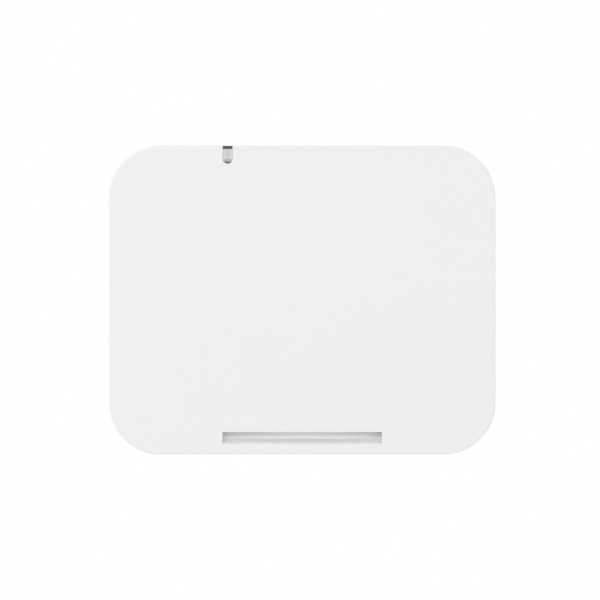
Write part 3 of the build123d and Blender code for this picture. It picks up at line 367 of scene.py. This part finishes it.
def turned(name, colour, roughness, places):
    """Turned and plated metal with fine rings about each of four mirrored axes."""
    s = Shader(name, colour, roughness, metallic=1.0)
    marks = s.rings(TURNING_PITCH, places)
    cloud = s.noise(380, 3.0)
    dark = tuple(0.8 * part for part in colour)
    s.colour(s.mixed(cloud, dark, tuple(min(1.0, 1.1 * part) for part in colour)))
    both = s.maths("ADD", s.ranged(marks, 0.0, 0.5), s.ranged(cloud, 0.0, 0.5))
    s.rough(both, roughness - 0.06, roughness + 0.14)
    s.bump(marks, 0.006, 0.5)
    return s.material


def stamped_gold():
    s = Shader("gold_contact", (0.85, 0.64, 0.28), 0.2, metallic=1.0)
    wipe = s.noise((1200, 1200, 90), 3.0)
    s.colour(s.mixed(wipe, (0.76, 0.55, 0.22), (0.9, 0.7, 0.34)))
    s.rough(wipe, 0.14, 0.34)
    s.bump(wipe, 0.004, 0.5)
    return s.material


def capacitor_can():
    """Bare aluminium can with drawing lines along its height."""
    s = Shader("capacitor_can", (0.72, 0.73, 0.75), 0.3, metallic=1.0)
    drawn = s.noise((1400, 60, 1400), 3.0)
    s.colour(s.mixed(drawn, (0.62, 0.63, 0.65), (0.8, 0.81, 0.83)))
    s.rough(drawn, 0.22, 0.42)
    s.bump(drawn, 0.006, 0.6)
    return s.material


# === Materials: electronics ======================================================================


def circuit_board():
    """Green solder resist over copper traces and vias, with bare glass laminate at the edges."""
    s = Shader("circuit_board", (0.02, 0.16, 0.07), 0.35)
    lines = s.ranged(s.cells((210, 210, 130), "DISTANCE_TO_EDGE", spread=0.55), 1.0, 0.0, 0.05, 0.09)
    runs = s.ranged(s.noise((34, 34, 900), 0.0), 0.0, 1.0, 0.56, 0.6)
    copper = s.maths("MAXIMUM", lines, runs)
    vias = s.ranged(s.cells(330, spread=0.35), 1.0, 0.0, 0.13, 0.18)
    pour = s.mixed(s.noise(28, 3.0), (0.012, 0.115, 0.05), (0.022, 0.16, 0.075))
    resist = s.mixed(copper, pour, (0.035, 0.24, 0.1))
    tinned = s.mixed(vias, resist, (0.55, 0.52, 0.42))
    weave = s.mixed(s.noise((260, 2600, 260), 2.0), (0.42, 0.38, 0.2), (0.55, 0.5, 0.3))
    face = s.ranged(s.facing("Y"), 0.0, 1.0, 0.5, 0.7)
    s.colour(s.mixed(face, weave, tinned))
    s.rough(s.noise(180, 2.0), 0.26, 0.44)
    s.bump(copper, 0.03, 0.6)
    s.bump(vias, 0.03, 0.5)
    return s.material


def moulded(name, low, high, roughness, speck=None, grain=1300):
    """Filled moulding compound: nylon, epoxy, ferrite or silicone."""
    s = Shader(name, high, roughness)
    tone = s.mixed(s.noise(300, 4.0), low, high)
    if speck is not None:
        tone = s.mixed(s.ranged(s.cells(900), 0.8, 0.0, 0.08, 0.26), tone, speck)
    s.colour(tone)
    s.rough(s.noise(220, 3.0), roughness - 0.08, roughness + 0.1)
    s.bump(s.noise(grain, 3.0), 0.012, 0.7)
    return s.material


LED_WINDOW = (1.0 * MM, 1.15 * MM)  # the resin ends between these radii


def led():
    """White body with a yellow resin window."""
    s = Shader("led", (0.85, 0.85, 0.8), 0.4)
    middle = tuple(led_centre)
    across = s.maths("MULTIPLY", s.axis("X", middle), s.axis("X", middle))
    up = s.maths("MULTIPLY", s.axis("Z", middle), s.axis("Z", middle))
    radius = s.maths("SQRT", s.maths("ADD", across, up))
    window = s.ranged(radius, 1.0, 0.0, *LED_WINDOW)
    body = s.mixed(s.noise(900, 2.0), (0.8, 0.8, 0.78), (0.87, 0.87, 0.85))
    s.colour(s.mixed(window, body, (0.82, 0.66, 0.12)))
    s.rough(s.noise(700, 2.0), 0.3, 0.5)
    s.bump(s.noise(1500, 2.0), 0.005, 0.5)
    return s.material


def lead_jacket():
    """Thin dark fluoropolymer jacket with faint draw lines."""
    s = Shader("lead_jacket", (0.12, 0.12, 0.12), 0.3)
    drawn = s.noise((50, 1500, 1500), 3.0)
    s.colour(s.mixed(drawn, (0.09, 0.09, 0.09), (0.16, 0.16, 0.16)))
    s.rough(drawn, 0.24, 0.4)
    s.bump(drawn, 0.008, 0.5)
    return s.material


# === Every material slot's finish ================================================================
finishes = {
    "cover_plastic": cover_plastic(),
    "housing_paint": housing_paint(),
    "trim_plastic": trim_plastic(),
    "bezel_plastic": bezel_plastic(),
    "lens": lens(),
    "button_plastic": button_plastic(),
    "foot_rubber": foot_rubber(),
    "label_film": label_film(),
    "bracket_zinc": plated("bracket_zinc", (0.66, 0.67, 0.68), 0.34, spangle=70),
    "shield_steel": plated("shield_steel", (0.74, 0.74, 0.72), 0.28, spangle=160),
    "antenna_steel": plated("antenna_steel", (0.74, 0.73, 0.70), 0.3, grain=(40, 900, 900)),
    "plate_aluminium": plated("plate_aluminium", (0.77, 0.78, 0.79), 0.36, grain=(30, 900, 1400)),
    "stud_steel": turned("stud_steel", (0.62, 0.62, 0.63), 0.3, about(STUDS_AT)),
    "screw_steel": turned("screw_steel", (0.6, 0.61, 0.63), 0.3, about(POSTS_AT)),
    "standoff_brass": turned("standoff_brass", (0.72, 0.56, 0.27), 0.28, about(POSTS_AT)),
    "gold_contact": stamped_gold(),
    "capacitor_can": capacitor_can(),
    "circuit_board": circuit_board(),
    "chip_plastic": moulded(
        "chip_plastic", (0.022, 0.022, 0.025), (0.04, 0.04, 0.044), 0.55, grain=1900
    ),
    "socket_plastic": moulded(
        "socket_plastic", (0.026, 0.026, 0.03), (0.05, 0.05, 0.054), 0.5, speck=(0.09, 0.09, 0.095)
    ),
    "inductor_ferrite": moulded(
        "inductor_ferrite", (0.09, 0.09, 0.092), (0.15, 0.15, 0.15), 0.65, speck=(0.22, 0.22, 0.22)
    ),
    "thermal_pad": moulded(
        "thermal_pad", (0.36, 0.44, 0.56), (0.46, 0.54, 0.66), 0.8, speck=(0.6, 0.66, 0.74), grain=700
    ),
    "ceramic": moulded(
        "ceramic", (0.7, 0.68, 0.6), (0.84, 0.82, 0.74), 0.3, speck=(0.6, 0.57, 0.48)
    ),
    "led": led(),
    "lead_jacket": lead_jacket(),
}
for subpart in frame["record"]["subparts"]:
    for place in nodes[subpart["node"]].material_slots:
        place.material = finishes[subpart["material_slot"]]

# === Rubber feet: turned discs with a dished middle and a ring groove ============================
FOOT_RADIUS, FOOT_STEPS = 4.4 * MM, 72
FOOT_DISH, FOOT_GROOVE = 0.7 * MM, 0.4 * MM
FOOT_ROUNDING, WELD = 0.12 * MM, 0.001 * MM
SHARP_ANGLE = math.radians(25)


def ribbed_feet():
    """Four feet in place of the plain discs, each a closed profile turned about its axis."""
    low, high = (Vector(corner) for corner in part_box("rubber_feet"))
    across, up = outer_places("rubber_feet", FOOT_RADIUS)
    thick = high.y - low.y
    # Distances from the foot's axis, and depths from its rear face, which is the one that rests.
    profile = [
        (0.0, FOOT_DISH),  # the dish
        (0.34 * FOOT_RADIUS, FOOT_DISH),
        (0.42 * FOOT_RADIUS, 0.0),  # the inner ring that rests
        (0.60 * FOOT_RADIUS, 0.0),
        (0.64 * FOOT_RADIUS, FOOT_GROOVE),  # the groove
        (0.72 * FOOT_RADIUS, FOOT_GROOVE),
        (0.76 * FOOT_RADIUS, 0.0),  # the outer ring that rests
        (0.93 * FOOT_RADIUS, 0.0),
        (FOOT_RADIUS, FOOT_GROOVE),  # the rim
        (FOOT_RADIUS, thick),  # the face glued to the housing
        (0.0, thick),
    ]
    build = bmesh.new()
    for sign_x in (-1, 1):
        for sign_z in (-1, 1):
            middle = Vector((sign_x * across, high.y, sign_z * up))
            line = [build.verts.new(middle + Vector((radius, -depth, 0.0))) for radius, depth in profile]
            edges = [build.edges.new(pair) for pair in zip(line, line[1:])]
            turn = {"cent": middle, "axis": (0, 1, 0), "angle": 2 * math.pi, "steps": FOOT_STEPS}
            bmesh.ops.spin(build, geom=line + edges, **turn)
    bmesh.ops.remove_doubles(build, verts=build.verts, dist=WELD)
    bmesh.ops.recalc_face_normals(build, faces=build.faces)
    for face in build.faces:
        face.smooth = True
    mesh = bpy.data.meshes.new("rubber_feet_ribbed")
    build.to_mesh(mesh)
    build.free()
    feet = bpy.data.objects.new("rubber_feet_ribbed", mesh)
    bpy.context.scene.collection.objects.link(feet)
    mesh.materials.append(finishes["foot_rubber"])
    bevel = feet.modifiers.new("rounded", "BEVEL")
    bevel.width, bevel.segments, bevel.limit_method = FOOT_ROUNDING, 3, "ANGLE"
    bevel.angle_limit = SHARP_ANGLE
    bevel.harden_normals = True
    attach(feet, "access_point")
    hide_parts("rubber_feet")


ribbed_feet()

# === Camera ======================================================================================
VIEW_WIDTH = 0.3125  # width of the view at the widest part of the case
WIDEST_AT = 15.5 * MM  # depth of that part, the seam
CAMERA_DISTANCE = 2.4
CAMERA_SIDE, CAMERA_HEIGHT = -1.1 * MM, 0.05 * MM  # puts the case a little right and below centre
SENSOR_MM = 36.0

camera_data = bpy.data.cameras.new("camera")
camera = bpy.data.objects.new("camera", camera_data)
bpy.context.scene.collection.objects.link(camera)
camera.location = (CAMERA_SIDE, -CAMERA_DISTANCE, CAMERA_HEIGHT)
camera.rotation_euler = (math.radians(90), 0, 0)
camera_data.sensor_width = SENSOR_MM
camera_data.lens = SENSOR_MM * (CAMERA_DISTANCE - WIDEST_AT) / VIEW_WIDTH
camera_data.clip_start, camera_data.clip_end = 0.05, 50.0
bpy.context.scene.camera = camera
bpy.context.scene.view_settings.view_transform = "Standard"

# === Studio: a white tent, soft lights and a pale floor ==========================================
TENT = 0.88  # light from every side
TENT_SIDES = 0.42  # more of it from the left and right
TENT_SLOPE = (-0.05, -0.04, 0.10)  # and from the left, the front and above
FLOOR_Z, FLOOR_REACH, FLOOR_SQUARES = -0.34, 6.0, 24
FLOOR_FADE = (1.0, 2.7)  # the floor turns into the white surroundings between these distances

world = bpy.data.worlds.new("studio")
world.use_nodes = True
tent, wires = world.node_tree.nodes, world.node_tree.links


def tent_maths(operation, first, second):
    made = tent.new("ShaderNodeMath")
    made.operation = operation
    for socket, value in zip(made.inputs, (first, second)):
        if isinstance(value, (int, float)):
            socket.default_value = value
        else:
            wires.new(value, socket)
    return made.outputs["Value"]


direction = tent.new("ShaderNodeSeparateXYZ")
wires.new(tent.new("ShaderNodeTexCoord").outputs["Generated"], direction.inputs["Vector"])
sideways = tent_maths("MULTIPLY", direction.outputs["X"], direction.outputs["X"])
strength = tent_maths("ADD", tent_maths("MULTIPLY", sideways, TENT_SIDES), TENT)
for name, slope in zip("XYZ", TENT_SLOPE):
    strength = tent_maths("ADD", strength, tent_maths("MULTIPLY", direction.outputs[name], slope))
cast = tent.new("ShaderNodeBackground")
wires.new(strength, cast.inputs["Strength"])
seen = tent["Background"]
seen.inputs["Color"].default_value = (1.0, 1.0, 1.0, 1.0)
chosen = tent.new("ShaderNodeMixShader")
wires.new(tent.new("ShaderNodeLightPath").outputs["Is Camera Ray"], chosen.inputs["Fac"])
wires.new(cast.outputs["Background"], chosen.inputs[1])
wires.new(seen.outputs["Background"], chosen.inputs[2])
wires.new(chosen.outputs["Shader"], tent["World Output"].inputs["Surface"])
bpy.context.scene.world = world


def area_light(name, location, size, power):
    """A square soft white light aimed at the object, which the camera doesn't see."""
    data = bpy.data.lights.new(name, "AREA")
    data.shape, data.size, data.energy = "SQUARE", size, power
    light = bpy.data.objects.new(name, data)
    bpy.context.scene.collection.objects.link(light)
    light.location = location
    light.rotation_euler = (-Vector(location)).to_track_quat("-Z", "Y").to_euler()
    light.visible_camera = False


area_light("key", location=(-0.8, -1.4, 1.3), size=0.9, power=8.0)
area_light("back_light", location=(-0.9, 1.3, 1.1), size=0.9, power=4.0)
area_light("rim_light", location=(1.5, 0.6, 1.1), size=0.7, power=2.5)


def pale_floor():
    """Pale matt floor that fades into the white surroundings, and lights the object as they do."""
    s = Shader("floor_pale", (0.6, 0.6, 0.6), 0.7)
    s.colour(s.mixed(s.noise(3, 3.0), (0.59, 0.59, 0.59), (0.61, 0.61, 0.61)))
    s.bump(s.noise(60, 2.0), 0.2, 0.2)
    away = s.node("VectorMath", operation="LENGTH")
    s.link(s.placed((1.0, 1.0, 0.0)), away.inputs[0])
    fade = s.ranged(away.outputs["Value"], 0.0, 1.0, *FLOOR_FADE)
    bounced = s.maths("SUBTRACT", 1.0, s.node("LightPath").outputs["Is Camera Ray"])
    white = s.node("Emission", Strength=1.0)
    blend = s.node("MixShader")
    s.link(s.maths("MAXIMUM", fade, bounced), blend.inputs["Fac"])
    s.link(s.bsdf.outputs["BSDF"], blend.inputs[1])
    s.link(white.outputs["Emission"], blend.inputs[2])
    s.link(blend.outputs["Shader"], s.tree.nodes["Material Output"].inputs["Surface"])
    return s.material


floor_mesh = bpy.data.meshes.new("floor")
build = bmesh.new()
bmesh.ops.create_grid(build, x_segments=FLOOR_SQUARES, y_segments=FLOOR_SQUARES, size=FLOOR_REACH)
build.to_mesh(floor_mesh)
build.free()
floor = bpy.data.objects.new("floor", floor_mesh)
floor.location = (0, 0, FLOOR_Z)
bpy.context.scene.collection.objects.link(floor)
floor_mesh.materials.append(pale_floor())
